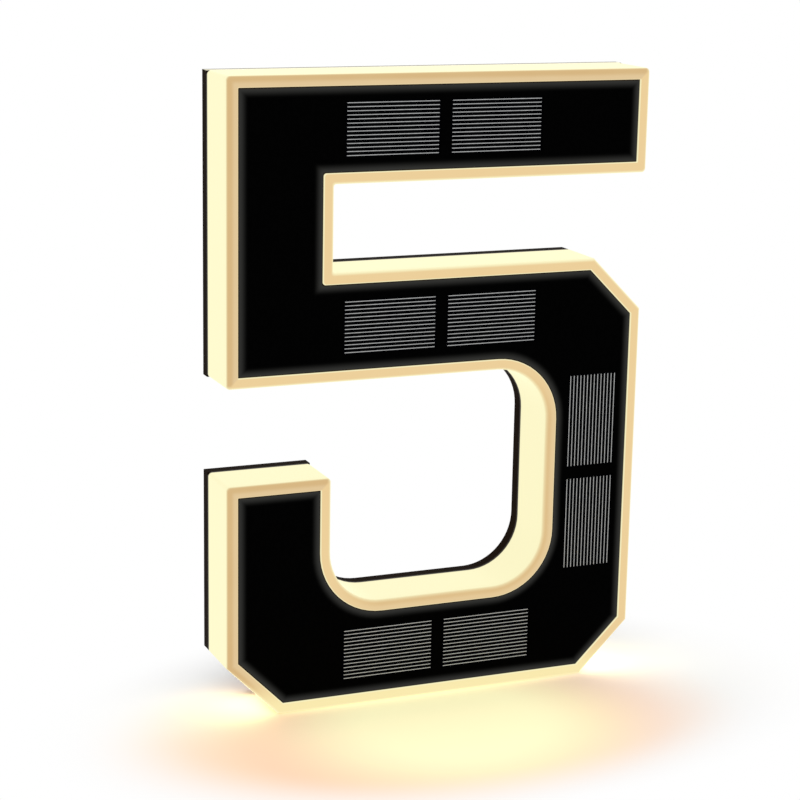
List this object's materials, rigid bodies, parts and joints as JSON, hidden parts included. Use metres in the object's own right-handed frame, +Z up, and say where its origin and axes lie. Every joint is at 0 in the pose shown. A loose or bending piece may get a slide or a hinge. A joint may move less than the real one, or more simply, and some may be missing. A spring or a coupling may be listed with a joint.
{
  "type": "illuminated house number sign",
  "caption": "Block digit five: glowing milky diffuser shell with a black solar panel in its front, a black keyhole-hung back plate and a push button behind.",
  "frame": {"origin": "centre of the bounding box on the standing face, z = 0", "axes": "+Z up along the digit, front face towards -Y, +X to the viewer's right"},
  "size_m": [0.14, 0.024, 0.2],
  "materials": {
    "diffuser": "milky polycarbonate, satin",
    "black_plastic": "moulded black ABS, fine texture",
    "silicone": "matte silicone",
    "panel_laminate": "glossy black laminate",
    "silver_fingers": "printed silver, dulled",
    "tape": "foam tape",
    "white_board": "white solder mask",
    "lamp_body": "phosphor and white resin",
    "battery_sleeve": "shrink sleeve",
    "nickel": "nickel-plated spring steel",
    "chip_epoxy": "epoxy",
    "ferrite": "ferrite and enamelled wire",
    "can_aluminium": "bare can",
    "white_plastic": "nylon",
    "lead_insulation": "PVC",
    "button_plastic": "moulded, satin",
    "switch_plastic": "nylon",
    "screw_steel": "zinc-plated",
    "solar_silicon": "mono silicon under laminate"
  },
  "bodies": {
    "sign": {"assembly_screws": "screw_steel", "back_plate": "black_plastic", "battery_cell": "battery_sleeve", "battery_clip_minus": "nickel", "battery_clip_plus": "nickel", "battery_cradle": "black_plastic", "board_screws": "screw_steel", "boost_inductor": "ferrite", "capacitors": "can_aluminium", "cell_fingers": "silver_fingers", "controller_chip": "chip_epoxy", "diffuser_shell": "diffuser", "lead_plug": "white_plastic", "lead_socket": "white_plastic", "light_board": "white_board", "panel_tape": "tape", "rear_seal": "silicone", "resistors": "chip_epoxy", "side_lamps": "lamp_body", "solar_cell_bottom_left": "solar_silicon", "solar_cell_bottom_right": "solar_silicon", "solar_cell_middle_left": "solar_silicon", "solar_cell_middle_right": "solar_silicon", "solar_cell_side_lower": "solar_silicon", "solar_cell_side_upper": "solar_silicon", "solar_cell_top_left": "solar_silicon", "solar_cell_top_right": "solar_silicon", "solar_leads": "lead_insulation", "solar_panel": "panel_laminate", "switch_body": "switch_plastic"},
    "button": {"power_button": "button_plastic", "button_ring": "silicone", "switch_plunger": "white_plastic"}
  },
  "joints": [
    {"name": "button_press", "type": "slide", "parent": "sign", "child": "button", "axis": [0, -1, 0], "range_m": [0, 0.002], "stiffness_N_per_m": 600}
  ]
}
